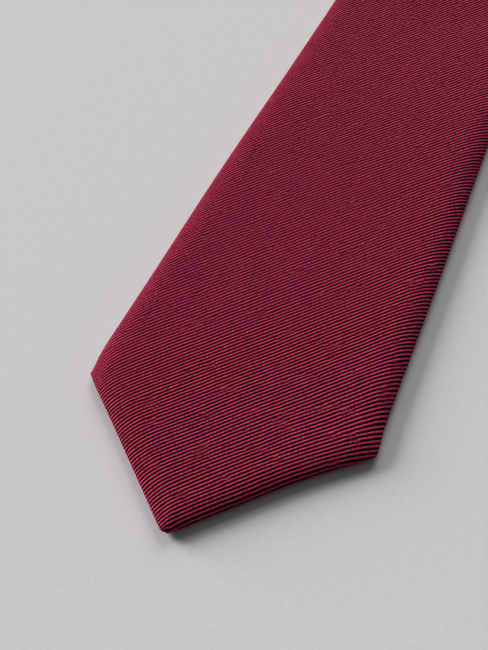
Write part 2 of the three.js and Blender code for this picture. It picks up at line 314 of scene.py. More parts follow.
# ---------------------------------------------------------------- the shell, wrapped round
# Columns go round the tie: turned-in edge, left flap, rounded side, top, rounded side, right flap.
# An edge is rolled: it falls away slowly on the face and more quickly on the back.
EDGE_FACE = 6.5 * MM
EDGE_BACK = 3.2 * MM
CROWDING = 1.25
TOP = np.linspace(-1, 1, 39)
TOP = np.sign(TOP) * np.abs(TOP) ** CROWDING
ROUND = np.linspace(0, math.pi, 15)[1:]
BACK = np.linspace(0, 1, 13)[1:]
CURL = np.linspace(0, math.pi, 6)[1:]
SIDE = len(ROUND) + len(BACK) + len(CURL) + 1
CURL_RADIUS = 0.42 * MM
TURNED_IN = 6 * MM
LAP_RIGHT = -3 * MM
LAP_LEFT = -6 * MM
LAP_DEPTH = 0.85 * MM
LAP_START = 9 * MM
LAP_FULL = 3.5 * MM
LAP_BEFORE_TACK = 45 * MM
LAP_EASE = 25 * MM
SOLVE_PASSES = 14
RELIEF = 0.18 * MM


def roll(reach):
    """A rolled edge: plan distances from its rim, and the cloth's length in from where it starts."""
    turn = np.linspace(0, math.pi / 2, 65)
    away, high = reach * (1 - np.sin(turn)), HALF * np.cos(turn)
    steps = np.hypot(np.diff(away), np.diff(high))
    return away, np.concatenate([[0], np.cumsum(steps)])


def rolled(distance, reach):
    """The cloth's length from where a rolled edge starts out to a plan distance from its rim."""
    away, length = roll(reach)
    return np.interp(distance, away[::-1], length[::-1])


ROUND_REACH = np.where(ROUND <= math.pi / 2 + TINY, EDGE_FACE, EDGE_BACK)
ROUND_AWAY = ROUND_REACH * (1 - np.sin(ROUND))
FACE_ROLL = roll(EDGE_FACE)[1][-1]
BACK_ROLL = roll(EDGE_BACK)[1][-1]
ROUND_LENGTH = np.where(
    ROUND <= math.pi / 2 + TINY,
    rolled(ROUND_AWAY, EDGE_FACE),
    FACE_ROLL + BACK_ROLL - rolled(ROUND_AWAY, EDGE_BACK),
)


def flap_side(width, flap, dip):
    """One side: how far out, how high and how far along the cloth, rows by columns."""
    a, b = len(ROUND), len(ROUND) + len(BACK)
    flap = flap[:, None]
    dip = dip[:, None]
    round_cloth = FACE_ROLL + BACK_ROLL - EDGE_FACE - EDGE_BACK
    edge = 2 * width[:, b:] + round_cloth - flap
    inner = width[:, a:b] - EDGE_BACK
    out = [
        width[:, :a] - ROUND_AWAY,
        inner + BACK * (flap - inner),
        flap - CURL_RADIUS * np.sin(CURL),
        flap + TURNED_IN,
    ]
    inward = dip * ease((LAP_START - out[1]) / (LAP_START - LAP_FULL))
    end = dip * ease((LAP_START - flap) / (LAP_START - LAP_FULL)) - HALF
    high = [
        HALF * np.cos(ROUND) + 0 * out[0],
        inward - HALF,
        end + CURL_RADIUS * (1 - np.cos(CURL)),
        end + 2 * CURL_RADIUS,
    ]
    along = [
        width[:, :a] - EDGE_FACE + ROUND_LENGTH,
        2 * width[:, a:b] + round_cloth - out[1],
        edge[:, :-1] + CURL_RADIUS * CURL,
        edge[:, -1:] + CURL_RADIUS * math.pi + TURNED_IN,
    ]
    return [np.concatenate(part, axis=1) for part in (out, high, along)]


PULL = 1.7 * MM
PULL_REACH = 9 * MM


def pull(distance):
    """Near an edge the cloth, cut on the bias, is dragged towards the tip as it goes round."""
    return PULL * np.clip(1 - distance / PULL_REACH, 0, 1) ** 2


def wrap(c, chevron, slant, flaps, dip, thin, width_at):
    """The shell's points, rows by columns: u, s, h, and each one's x and y on the flat cloth.
    thin gives how much of its height each row has on the face and on the back."""
    s = np.repeat(c[:, None], 2 * SIDE + len(TOP), axis=1)
    for _ in range(SOLVE_PASSES):
        width = width_at(s)
        left = flap_side(width[:, SIDE - 1::-1] + waviness(s[:, SIDE - 1::-1], -1), flaps[0], dip)
        right = flap_side(width[:, -SIDE:] + waviness(s[:, -SIDE:], 1), flaps[1], 0 * dip)
        top = TOP * (width[:, SIDE:-SIDE] - EDGE_FACE)
        u = np.concatenate([-left[0][:, ::-1], top, right[0]], axis=1)
        h = np.concatenate([left[1][:, ::-1], HALF + 0 * top, right[1]], axis=1)
        x = np.concatenate([-left[2][:, ::-1], top, right[2]], axis=1)
        s = c[:, None] + chevron[:, None] * np.abs(u) + slant[:, None] * x
    h = h - RELIEF * relief(u, s) * np.clip(h / HALF, 0, 1) ** 2
    h = h * np.where(h > 0, thin[0][:, None], thin[1][:, None])
    return u, s, h, x, s + pull(width_at(s) - np.abs(x))


def spaced(start, finish, step):
    """Values from start to finish, both ends included, evenly spaced by about step."""
    return np.linspace(start, finish, max(2, int(round((finish - start) / step)) + 1))


def rounded(distance, radius):
    """Height, from 0 to 1, of an edge that is rounded over radius."""
    t = np.clip(1 - distance / radius, 0, 1)
    return np.sqrt(1 - t * t)


EDGE_STEPS = 10
MOUTH_STEP = 3 * MM
BODY_STEP = 4 * MM
FOLD_STEP = 0.8 * MM
FOLD_ROOM = 3 * MM
SEAM_ROOM = 3 * MM
SEAM_EASE = 130 * MM
SEAM_WIDTH = 1.1 * MM
SEAM_DEPTH = 0.28
CHEVRON_ENDS = 50 * MM
SEAM_ROWS = SEAM_WIDTH * ROOT2 * np.array([0, 0.08, 0.3, 0.65, 1])


def groove(distance):
    """A pieced seam is a shallow groove: both cloths turn in there."""
    return 1 - SEAM_DEPTH * (1 - rounded(distance / ROOT2, SEAM_WIDTH))


NOTCH_DEPTH = 1.3 * MM
NOTCH_WIDTH = 0.8 * MM
NOTCH_MIDDLE = 0.3 * MM
TIP_BLEND = 6 * MM


def notch(u, s):
    """The small open fold right at a tip, where the hems meet: how far it is drawn in."""
    return NOTCH_DEPTH * np.exp(-(u * u + (s - NOTCH_MIDDLE) ** 2) / NOTCH_WIDTH ** 2)


# How far a tip's left and right corners are let out, towards the tip and outwards, and over what
# distance this fades. FRONT_CORNER and TAIL_CORNER are how far from its tip a corner is.
CORNER_SAG = (0.75 * MM, 2.3 * MM)
CORNER_SAG_REACH = (7 * MM, 15 * MM)
CORNER_OUT = (-0.8 * MM, 0.6 * MM)
CORNER_OUT_REACH = (5 * MM, 6 * MM)
FRONT_CORNER = 40 * MM
TAIL_CORNER = 24 * MM


def fullness(u, s, corner):
    """The corners aren't quite straight: how far each point is let out, to the tip and outwards."""
    slack = corner / FRONT_CORNER
    away = ((np.abs(u) - corner) ** 2 + (s - corner) ** 2) / slack ** 2
    left = u < 0
    sag = np.where(left, *CORNER_SAG) * np.exp(-away / np.where(left, *CORNER_SAG_REACH) ** 2)
    out = np.where(left, *CORNER_OUT) * np.exp(-away / np.where(left, *CORNER_OUT_REACH) ** 2)
    return slack * sag, slack * out * np.sign(u)


def tip_shell(name, seam, tack, corner, at_tail, material):
    """A blade's shell from its tip to its pieced seam. Here s and c run from that tip. Returns the
    piece and its points' s along the whole tie."""

    def swap(s):
        """From s at this tip to s along the whole tie, or back."""
        return LENGTH - s if at_tail else s

    def width_at(s):
        return half_width(swap(s))

    round_c = EDGE_FACE * ROOT2 * (1 - np.cos(np.linspace(0, math.pi / 2, EDGE_STEPS)))
    hem = HEM * ROOT2
    c = np.concatenate([
        round_c,
        spaced(round_c[-1], hem, MOUTH_STEP)[1:],
        spaced(hem, tack, MOUTH_STEP)[1:],
        spaced(tack, seam - SEAM_ROOM, BODY_STEP)[1:],
        seam - SEAM_ROWS[::-1],
    ])
    chevron = np.clip((tack + CHEVRON_ENDS - c) / CHEVRON_ENDS, 0, 1)
    slant = (-1 if at_tail else 1) * np.clip(1 - (seam - c) / SEAM_EASE, 0, 1)
    opening = np.clip((c - hem) / (tack - hem), 0, 1)
    widest = corner - FLAP_AT_CORNER
    flaps = [widest + (lap - widest) * opening for lap in (LAP_LEFT, LAP_RIGHT)]
    dip = LAP_DEPTH * ease((c - tack + LAP_BEFORE_TACK) / LAP_EASE)
    thin = [rounded(c / ROOT2, reach) * groove(seam - c) for reach in (EDGE_FACE, EDGE_BACK)]
    u, s, h, x, y = wrap(c, chevron, slant, flaps, dip, thin, width_at)
    rows, columns = u.shape
    more = (np.minimum(c / ROOT2 - EDGE_FACE, 0) + rolled(c / ROOT2, EDGE_FACE))[:, None] / ROOT2
    other_side = 1 - ease((TIP_BLEND + (-u if at_tail else u)) / (2 * TIP_BLEND))
    y = y + pull(c / ROOT2)[:, None] * other_side
    hem_row = int(np.searchsorted(c, hem - TINY))
    curl = len(CURL) + 1

    def in_hem(row, column):
        return row < hem_row and not curl <= column < columns - 1 - curl

    faces = grid_faces(rows, columns, 0, at_tail, in_hem)
    # The hem that is turned in along both tip edges, with its mitre in the middle
    turn = np.concatenate([np.zeros(hem_row + 1), CURL])[:, None]
    hem_c = np.concatenate([c[:hem_row + 1], hem + 0 * CURL])[:, None]
    hem_u = widest * TOP[None, :]
    hem_s = hem_c + CURL_RADIUS * np.sin(turn) * ROOT2 + np.abs(hem_u)
    hem_h = CURL_RADIUS * (1 - np.cos(turn)) - HALF * rounded(hem_c / ROOT2, EDGE_BACK) + 0 * hem_u
    from_rim = hem_c / ROOT2
    back_run = BACK_ROLL - rolled(from_rim, EDGE_BACK) + np.maximum(from_rim - EDGE_BACK, 0)
    over = (from_rim - EDGE_FACE + FACE_ROLL + back_run + 2 * CURL_RADIUS * turn) / ROOT2
    faces += grid_faces(len(hem_c), hem_u.size, rows * columns, not at_tail)

    def both(shell, hem_part):
        return np.concatenate([shell.ravel(), hem_part.ravel()])

    all_u = both(u, hem_u + 0 * hem_s)
    all_s = both(s, hem_s)
    cloth_x = both(x + np.sign(u) * more, hem_u + np.sign(hem_u) * over)
    cloth_y = swap(both(y - more, hem_s - over))
    to_tip, outward = fullness(all_u, all_s, corner)
    tie_s = swap(all_s + notch(all_u, all_s) - to_tip)
    points = place(all_u + outward, tie_s, both(h, hem_h))
    cloth = np.stack([cloth_x, cloth_y], axis=-1)
    return new_piece(name, points, faces, cloth, material), tie_s


def neck_shell(name, material):
    """The neck cloth, between its two pieced seams and round the fold. Returns the piece and how
    far along the tie its points are, square to the fold."""
    c = np.concatenate([
        BLADE_SEAM + SEAM_ROWS,
        spaced(BLADE_SEAM + SEAM_ROOM, FOLD_START - FOLD_ROOM - MM, BODY_STEP),
        spaced(FOLD_START - FOLD_ROOM, FOLD_START + FOLD_TURN + FOLD_ROOM, FOLD_STEP),
        spaced(FOLD_START + FOLD_TURN + FOLD_ROOM + MM, TAIL_SEAM - SEAM_ROOM, BODY_STEP),
        TAIL_SEAM - SEAM_ROWS[::-1],
    ])
    slant = np.clip(1 - (c - BLADE_SEAM) / SEAM_EASE, 0, 1)
    slant = slant + np.clip(1 - (TAIL_SEAM - c) / SEAM_EASE, 0, 1)
    flaps = [lap + 0 * c for lap in (LAP_LEFT, LAP_RIGHT)]
    thin = groove(c - BLADE_SEAM) * groove(TAIL_SEAM - c)
    u, s, h, x, y = wrap(c, 0 * c, slant, flaps, LAP_DEPTH + 0 * c, [thin, thin], half_width)
    cloth = np.stack([x, y], axis=-1)
    piece = new_piece(name, place(u, s, h), grid_faces(*u.shape), cloth, material)
    return piece, past_fold(u, s)


def slab(name, u, s, bottom, top, material):
    """A closed layer between two heights, over a grid of u and s. Returns it and its points' u, s."""
    rows, columns = u.shape
    count = rows * columns
    faces = grid_faces(rows, columns, count) + grid_faces(rows, columns, 0, True)
    rim = list(range(columns))
    rim += [row * columns + columns - 1 for row in range(1, rows)]
    rim += [(rows - 1) * columns + column for column in range(columns - 2, -1, -1)]
    rim += [row * columns for row in range(rows - 2, 0, -1)]
    for a, b in zip(rim, rim[1:] + rim[:1]):
        faces.append((a, b, b + count, a + count))
    points = np.concatenate([place(u, s, h).reshape(-1, 3) for h in (bottom, top)])
    cloth = np.tile(np.stack([u, s], axis=-1).reshape(-1, 2), (2, 1))
    piece = new_piece(name, points, faces, cloth, material)
    return piece, np.tile(u.ravel(), 2), np.tile(s.ravel(), 2)


THREAD_SIDES = 6
THREAD_TAPER = 0.45


def threads(name, paths, radius, material):
    """Short lengths of thread in one piece; each path is an array of points."""
    sides = THREAD_SIDES
    angles = np.arange(sides) * 2 * math.pi / sides
    points, faces, cloth = [], [], []
    for path in paths:
        first = sides * len(points)
        heading = np.gradient(path, axis=0)
        heading /= np.linalg.norm(heading, axis=1, keepdims=True)
        side = np.cross(heading, UP)
        side /= np.linalg.norm(side, axis=1, keepdims=True)
        over = np.cross(side, heading)
        run = np.concatenate([[0], np.cumsum(np.linalg.norm(np.diff(path, axis=0), axis=1))])
        for k, point in enumerate(path):
            taper = THREAD_TAPER if k in (0, len(path) - 1) else 1
            spoke = np.cos(angles)[:, None] * side[k] + np.sin(angles)[:, None] * over[k]
            points.append(point + taper * radius * spoke)
            cloth.append(np.stack([run[k] + 0 * angles, angles * radius], axis=-1))
        for k in range(len(path) - 1):
            for j in range(sides):
                a = first + sides * k + j
                b = first + sides * k + (j + 1) % sides
                faces.append((a, a + sides, b + sides, b))
        last = first + sides * (len(path) - 1)
        faces.append(tuple(range(first, first + sides)))
        faces.append(tuple(range(last, last + sides))[::-1])
    return new_piece(name, np.concatenate(points), faces, np.concatenate(cloth), material)


# ---------------------------------------------------------------- materials
class Paint:
    """A node material in the making. Each method adds a node and returns its output."""

    def __init__(self, name, **shader):
        self.material = bpy.data.materials.new(name)
        self.material.use_nodes = True
        self.tree = self.material.node_tree
        self.shader = self.tree.nodes["Principled BSDF"]
        for socket, value in shader.items():
            self.shader.inputs[socket.replace("_", " ")].default_value = value

    def node(self, kind, inputs, output=0, **settings):
        """Adds a node. An input is a constant or another node's output."""
        made = self.tree.nodes.new(kind)
        for key, value in settings.items():
            setattr(made, key, value)
        for key, value in inputs.items():
            if isinstance(value, bpy.types.NodeSocket):
                self.tree.links.new(value, made.inputs[key])
            else:
                made.inputs[key].default_value = value
        return made.outputs[output]

    def math(self, operation, *values):
        return self.node("ShaderNodeMath", dict(enumerate(values)), operation=operation)

    def cloth(self):
        """The point's place on the flat cloth, in metres: x across and y along."""
        vector = self.node("ShaderNodeAttribute", {}, "Vector", attribute_name="cloth")
        split = self.tree.nodes.new("ShaderNodeSeparateXYZ")
        self.tree.links.new(vector, split.inputs[0])
        return split.outputs[0], split.outputs[1]

    def noise(self, x, y, x_size, y_size, detail=2.0):
        """Noise over x and y, its grains about x_size by y_size."""
        vector = self.node("ShaderNodeCombineXYZ", {
            0: self.math("DIVIDE", x, x_size),
            1: self.math("DIVIDE", y, y_size),
        })
        return self.node("ShaderNodeTexNoise", {"Vector": vector, "Scale": 1.0, "Detail": detail})

    def remap(self, value, low, high, to_low, to_high):
        """to_low where value is at low, to_high where it is at high, and smooth in between."""
        return self.node(
            "ShaderNodeMapRange",
            {0: value, 1: low, 2: high, 3: to_low, 4: to_high},
            interpolation_type="SMOOTHSTEP",
        )

    def mix_value(self, factor, a, b):
        return self.node("ShaderNodeMix", {0: factor, 2: a, 3: b}, 0, data_type="FLOAT")

    def mix(self, factor, a, b):
        inputs = {0: factor, 6: a, 7: b}
        return self.node("ShaderNodeMix", inputs, 2, data_type="RGBA")

    def finish(self, colour, height, distance, strength=1.0, roughness=None):
        """Joins colour, relief and roughness to the shader. Returns the material."""
        bump = self.node("ShaderNodeBump", {
            "Height": height, "Distance": distance, "Strength": strength,
        })
        self.tree.links.new(colour, self.shader.inputs["Base Color"])
        self.tree.links.new(bump, self.shader.inputs["Normal"])
        if roughness is not None:
            self.tree.links.new(roughness, self.shader.inputs["Roughness"])
        return self.material


def rgb(red, green, blue):
    """A colour given as it looks on a screen, from 0 to 255."""
    return tuple(((v / 255 + 0.055) / 1.055) ** 2.4 for v in (red, green, blue)) + (1.0,)


# Ribbed silk. A size is along the ribs and across them. An edge is where a value starts to count
# and where it counts in full, and GRAIN_TONE and RIB_ROUGHNESS are at those two ends.
RIB_PITCH = 1.02 * MM
# The dark silk colour is painted shade for the gaps between the ribs. The light one is the silk's red
# with a painted pinkish highlight, for the crests.
SILK_GAP_PAINTED_SHADE = (0.003, 0.0, 0.001, 1.0)
SILK_CREST_WITH_PAINTED_HIGHLIGHT = (0.6, 0.05, 0.118, 1.0)
SILK_GLOSS = (1.0, 0.2, 0.35, 1.0)
DRIFT_SIZE = (14 * MM, 9 * MM)
DRIFT = 0.7
JITTER_SIZE = (1.7 * MM, 1.1 * MM)
JITTER_BLURRED = 0.5
JITTER_CLEAR = 0.1
PATCH_SIZE = (7 * MM, 5 * MM)
PATCH_DETAIL = 3.0
PATCH_EDGE = (0.33, 0.42)
CREST_EDGE = (0.34, 0.09)
BLURRED_GAP = 0.11
BLURRED_RISE = 0.62
GRAIN_SIZE = (0.3 * MM, 0.6 * MM)
GRAIN_EDGE = (0.3, 0.7)
GRAIN_TONE = (0.35, 1.4)
GRAIN_HEIGHT = 0.35
RIB_HEIGHT = 0.2 * MM
RIB_STRENGTH = 0.9
RIB_ROUGHNESS = (0.75, 0.42)


def silk():
    """Ribbed silk: rounded ribs with painted shade in their gaps and a painted highlight on their
    crests, fine threads crossing them, and patches where they blur.
    """
    paint = Paint(
        "silk", Specular_IOR_Level=0.01, Specular_Tint=SILK_GLOSS,
        Sheen_Weight=0.04, Sheen_Roughness=0.4, Sheen_Tint=SILK_GLOSS,
    )
    x, y = paint.cloth()
    along = paint.math("MULTIPLY", paint.math("ADD", y, x), 1 / ROOT2)
    across = paint.math("MULTIPLY", paint.math("SUBTRACT", y, x), 1 / ROOT2)
    drift = paint.math("MULTIPLY", paint.noise(along, across, *DRIFT_SIZE), DRIFT)
    patch = paint.noise(along, across, *PATCH_SIZE, PATCH_DETAIL)
    clear = paint.remap(patch, *PATCH_EDGE, 0.0, 1.0)
    loose = paint.remap(clear, 0.0, 1.0, JITTER_BLURRED, JITTER_CLEAR)
    jitter = paint.math("MULTIPLY", paint.noise(along, across, *JITTER_SIZE), loose)
    count = paint.math("ADD", paint.math("DIVIDE", across, RIB_PITCH), drift)
    count = paint.math("ADD", count, jitter)
    away = paint.math("ABSOLUTE", paint.math("SUBTRACT", paint.math("FRACT", count), 0.5))
    rib = paint.remap(away, *CREST_EDGE, 0.0, 1.0)
    grain = paint.noise(along, across, *GRAIN_SIZE, 1.0)
    blurred = paint.math("MULTIPLY_ADD", rib, BLURRED_RISE, BLURRED_GAP)
    level = paint.mix_value(clear, blurred, rib)
    tone = paint.math("MULTIPLY", level, paint.remap(grain, *GRAIN_EDGE, *GRAIN_TONE))
    height = paint.math("ADD", rib, paint.math("MULTIPLY", grain, GRAIN_HEIGHT))
    # Painted light: through the rib profile, the gaps get painted shade and the crests a painted
    # highlight.
    colour = paint.mix(tone, SILK_GAP_PAINTED_SHADE, SILK_CREST_WITH_PAINTED_HIGHLIGHT)
    roughness = paint.remap(rib, 0.0, 1.0, *RIB_ROUGHNESS)
    return paint.finish(colour, height, RIB_HEIGHT, RIB_STRENGTH, roughness)


SATIN_THREAD = (0.16 * MM, 2.2 * MM)
SATIN_CLOUD = (16 * MM, 22 * MM)
SATIN_HEIGHT = 0.05 * MM
SATIN_MIX = (0.75, 0.4)
SATIN_EDGE = (0.3, 0.85)
SATIN_GLOSS = (1.0, 0.45, 0.5, 1.0)


def satin(name, dark, light):
    """Plain satin lining: long fine threads, slow clouds of tone, and a dull gloss."""
    paint = Paint(name, Roughness=0.5, Specular_IOR_Level=0.07, Specular_Tint=SATIN_GLOSS)
    x, y = paint.cloth()
    fine = paint.noise(x, y, *SATIN_THREAD, 1.0)
    cloud = paint.noise(x, y, *SATIN_CLOUD)
    parts = [paint.math("MULTIPLY", *pair) for pair in zip((fine, cloud), SATIN_MIX)]
    tone = paint.remap(paint.math("ADD", *parts), *SATIN_EDGE, 0.0, 1.0)
    return paint.finish(paint.mix(tone, dark, light), fine, SATIN_HEIGHT, 0.5)


FUZZ_SIZE = (0.5 * MM, 0.5 * MM)
WEAVE_HEIGHT = 0.08 * MM
WEAVE_MIX = (0.25, 0.6)
WEAVE_EDGE = (-0.05, 0.65)


def woven(name, dark, light, pitch):
    """A plain weave of two crossing thread systems, for labels and interlining."""
    paint = Paint(name, Roughness=0.75, Sheen_Weight=0.15)
    x, y = paint.cloth()
    fuzz = paint.noise(x, y, *FUZZ_SIZE)
    waves = []
    for v in (x, y):
        turn = paint.math("MULTIPLY", v, 2 * math.pi / pitch)
        waves.append(paint.math("SINE", paint.math("ADD", turn, fuzz)))
    weave = paint.math("MULTIPLY", *waves)
    parts = [paint.math("MULTIPLY", *pair) for pair in zip((weave, fuzz), WEAVE_MIX)]
    tone = paint.remap(paint.math("ADD", *parts), *WEAVE_EDGE, 0.0, 1.0)
    return paint.finish(paint.mix(tone, dark, light), weave, WEAVE_HEIGHT, 0.8)


TWIST_PITCH = 0.5 * MM
TWIST_FUZZ = (0.3 * MM, 0.2 * MM)
TWIST_HEIGHT = 0.04 * MM
TWIST_SHARE = 0.3
TWIST_EDGE = (0.1, 0.9)


def twisted(name, dark, light):
    """Sewing thread: a twist winding along it."""
    paint = Paint(name, Roughness=0.5, Sheen_Weight=0.3)
    x, y = paint.cloth()
    turn = paint.math("MULTIPLY", paint.math("ADD", x, y), 2 * math.pi / TWIST_PITCH)
    twist = paint.math("SINE", turn)
    fuzz = paint.noise(x, y, *TWIST_FUZZ)
    mixed = paint.math("ADD", paint.math("MULTIPLY", twist, TWIST_SHARE), fuzz)
    tone = paint.remap(mixed, *TWIST_EDGE, 0.0, 1.0)
    return paint.finish(paint.mix(tone, dark, light), twist, TWIST_HEIGHT, 0.8)


SILK = silk()
LINING = satin("lining", rgb(70, 8, 24), rgb(132, 34, 58))
INTERLINING = woven("interlining", rgb(190, 182, 168), rgb(232, 226, 214), 0.9 * MM)
LABEL = woven("label", rgb(205, 196, 178), rgb(242, 236, 224), 0.55 * MM)
THREAD = twisted("thread", rgb(70, 8, 24), rgb(140, 40, 62))
PALE_THREAD = twisted("pale_thread", rgb(196, 188, 172), rgb(240, 235, 225))


# ---------------------------------------------------------------- the three pieces of the shell
front, front_at = tip_shell(
    "front_blade_cloth", BLADE_SEAM, FRONT_TACK, FRONT_CORNER, False, SILK,
)
bend_at_hinge(front, front_at)
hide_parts("front_blade_lower", "front_blade_upper")
unroll(front, 3)

neck, neck_at = neck_shell("neck_cloth", SILK)
bend_at_fold(neck, neck_at)
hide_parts("neck_front", "neck_rear")
unroll(neck, 2)

tail, _ = tip_shell("tail_cloth", LENGTH - TAIL_SEAM, TAIL_TACK, TAIL_CORNER, True, SILK)
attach(tail, "tail")
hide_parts("tail_blade")
unroll(tail, 2)

# ---------------------------------------------------------------- inside the shell
INNER_INSET = 2.4 * MM
INNER_COLUMNS = 25
TIP_ROOM = 3 * MM
LINING_DEEP = -0.8 * MM
LINING_WAVE = 0.16 * MM
FRONT_LINING_END = 165 * MM
TAIL_LINING_END = 118 * MM
INTERLINING_LOW = -0.05 * MM
INTERLINING_HIGH = 1.2 * MM


def inner_grid(c, chevron):
    """A layer inside the shell, its rows parallel to the tips where chevron is 1: u, s, and how
    much of the shell's height there is above it."""
    across = np.linspace(-1, 1, INNER_COLUMNS)[None, :]
    s = np.repeat(c[:, None], INNER_COLUMNS, axis=1)
    for _ in range(SOLVE_PASSES):
        width = half_width(s)
        u = across * (width - INNER_INSET)
        s = c[:, None] + chevron[:, None] * np.abs(u)
    to_tip = np.minimum(c, LENGTH - c)[:, None] / ROOT2
    return u, s, rounded(width - np.abs(u), EDGE_FACE) * rounded(to_tip, EDGE_FACE)


def lining(name, c, toward_tip, body, node, flip):
    """The satin behind a blade's tip, loose enough to show slight waves."""
    u, s, _ = inner_grid(c, toward_tip + 0 * c)
    h = LINING_DEEP - LINING_WAVE * (relief(1.7 * u, 1.3 * s) - 0.5)
    points = place(u, s, h)
    cloth = np.stack([u, s], axis=-1)
    piece = new_piece(name, points, grid_faces(*u.shape, flip=flip), cloth, LINING)
    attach(piece, body)
    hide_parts(node)
    unroll(piece, 1)
    return piece


front_lining = lining(
    "front_lining", spaced(TIP_ROOM, FRONT_LINING_END, BODY_STEP), 1,
    "front_blade", "front_tipping", True,
)
tail_lining = lining(
    "tail_lining", LENGTH - spaced(TIP_ROOM, TAIL_LINING_END, BODY_STEP), -1,
    "tail", "tail_tipping", False,
)

FRONT_CHEVRON_END = 200 * MM
REAR_CHEVRON_START = 1300 * MM
INNER_STEP = 8 * MM
INNER_FOLD_STEP = 1.2 * MM
INNER_GAP = 0.4 * MM


def interlining(name, c, chevron):
    """A length of the thick woven layer that gives the tie its body."""
    u, s, room = inner_grid(c, chevron)
    return slab(name, u, s, INTERLINING_LOW, INTERLINING_HIGH * room, INTERLINING)


def front_interlining_rows():
    """Where its crossings are: close together at the bend."""
    return np.concatenate([
        spaced(TIP_ROOM, LIFT_HINGE - BLADE_ZONE, INNER_STEP),
        spaced(LIFT_HINGE - BLADE_ZONE, LIFT_HINGE + BLADE_ZONE, BODY_STEP)[1:],
        spaced(LIFT_HINGE + BLADE_ZONE, BLADE_SEAM, INNER_STEP)[1:],
    ])


def rear_interlining_rows():
    """Where its crossings are: closest together at the fold."""
    return np.concatenate([
        spaced(BLADE_SEAM + INNER_GAP, FOLD_MIDDLE - FOLD_ZONE, INNER_STEP),
        spaced(FOLD_MIDDLE - FOLD_ZONE, FOLD_MIDDLE + FOLD_ZONE, INNER_FOLD_STEP)[1:],
        spaced(FOLD_MIDDLE + FOLD_ZONE, LENGTH - TIP_ROOM, INNER_STEP)[1:],
    ])


rows = front_interlining_rows()
chevron = np.clip((FRONT_CHEVRON_END - rows) / CHEVRON_ENDS, 0, 1)
front_inner, _, at = interlining("front_interlining", rows, chevron)
bend_at_hinge(front_inner, at)
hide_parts("interlining_lower", "interlining_upper")

rows = rear_interlining_rows()
chevron = -np.clip((rows - REAR_CHEVRON_START) / CHEVRON_ENDS, 0, 1)
rear_inner, out, at = interlining("rear_interlining", rows, chevron)
bend_at_fold(rear_inner, past_fold(out, at))
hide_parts("interlining_tail")

# ---------------------------------------------------------------- thread
THREAD_RADIUS = 0.2 * MM
STITCH_STEP = 8 * MM
FLAP_EDGE = LAP_RIGHT - CURL_RADIUS
# One slip stitch, and one stitch of a bar tack, from end to end
STITCH_U = FLAP_EDGE + MM * np.array([-0.7, -0.35, 0.1, 0.7, 1.3])
STITCH_S = MM * np.array([-0.9, -0.5, 0, 0.5, 1.0])
STITCH_H = -HALF + MM * np.array([0.75, 0.3, -0.12, -0.14, 0.05])
BAR_S = MM * np.array([-1.1, -0.7, 0, 0.7, 1.1])
BAR_H = -HALF + MM * np.array([0.4, 0.13, 0.1, 0.13, 0.4])
BAR_HALF_WIDTH = 4.5 * MM
BAR_STEP = 0.42 * MM
BAR_SLANT = 0.15
TACK_TO_STITCH = 6 * MM
SEAM_TO_STITCH = 4 * MM


def slip_stitches(name, start, finish):
    """Short slanting stitches over the edge of the flap that laps. Returns each point's s too."""
    paths, at = [], []
    for s in spaced(start, finish, STITCH_STEP):
        paths.append(place(STITCH_U, s + STITCH_S, STITCH_H))
        at.append(np.repeat(s + STITCH_S, THREAD_SIDES))
    return threads(name, paths, THREAD_RADIUS, THREAD), np.concatenate(at)


def bar_tack(name, s, body, node):
    """A dense row of short stitches that holds the end of the mouth."""
    paths = [
        place(u + BAR_SLANT * BAR_S, s + BAR_S, BAR_H)
        for u in spaced(-BAR_HALF_WIDTH, BAR_HALF_WIDTH, BAR_STEP)
    ]
    piece = threads(name, paths, THREAD_RADIUS, THREAD)
    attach(piece, body)
    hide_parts(node)


stitches, at = slip_stitches(
    "slip_stitches_front", FRONT_TACK + TACK_TO_STITCH, BLADE_SEAM - SEAM_TO_STITCH,
)
bend_at_hinge(stitches, at)
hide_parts("slip_stitch_lower", "slip_stitch_upper")
stitches, at = slip_stitches(
    "slip_stitches_rear", BLADE_SEAM + SEAM_TO_STITCH, LENGTH - TAIL_TACK - TACK_TO_STITCH,
)
bend_at_fold(stitches, past_fold(FLAP_EDGE, at))
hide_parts("slip_stitch_tail")
bar_tack("front_bar_stitches", FRONT_TACK, "front_blade", "front_bar_tack")
bar_tack("tail_bar_stitches", LENGTH - TAIL_TACK, "tail", "tail_bar_tack")

# ---------------------------------------------------------------- keeper loop
KEEPER_START = 270 * MM
KEEPER_WIDTH = 12 * MM
KEEPER_INSIDE = 19 * MM
KEEPER_SLOPE = 4.5 * MM
KEEPER_TAB = 4 * MM
KEEPER_THICK = 0.6 * MM
KEEPER_SLOPE_STEP = 0.45 * MM
# One stitch of the tacks that sew the keeper down
KEEPER_STITCH = MM * np.array([-1.4, -0.9, 0, 0.9, 1.4])
KEEPER_STITCH_H = -HALF - KEEPER_THICK + MM * np.array([0.25, -0.02, -0.06, -0.02, 0.25])
KEEPER_STITCH_STEP = 0.75 * MM
KEEPER_STITCH_SLANT = 0.2
KEEPER_MARGIN = 1.5 * MM


def keeper_line():
    """The band's middle, from one sewn tab down along the floor and up to the other: u and h."""
    reach = KEEPER_INSIDE + KEEPER_SLOPE + KEEPER_TAB
    u = np.concatenate([
        spaced(-reach, -KEEPER_INSIDE - KEEPER_SLOPE, MM)[:-1],
        spaced(-KEEPER_INSIDE - KEEPER_SLOPE, -KEEPER_INSIDE, KEEPER_SLOPE_STEP)[:-1],
        spaced(-KEEPER_INSIDE, KEEPER_INSIDE, 2 * MM),
        spaced(KEEPER_INSIDE, KEEPER_INSIDE + KEEPER_SLOPE, KEEPER_SLOPE_STEP)[1:],
        spaced(KEEPER_INSIDE + KEEPER_SLOPE, reach, MM)[1:],
    ])
    low = -HALF - BLADE_LIFT + KEEPER_THICK / 2
    high = -HALF - KEEPER_THICK / 2
    drop = ease((KEEPER_INSIDE + KEEPER_SLOPE - np.abs(u)) / KEEPER_SLOPE)
    return u, high + (low - high) * drop


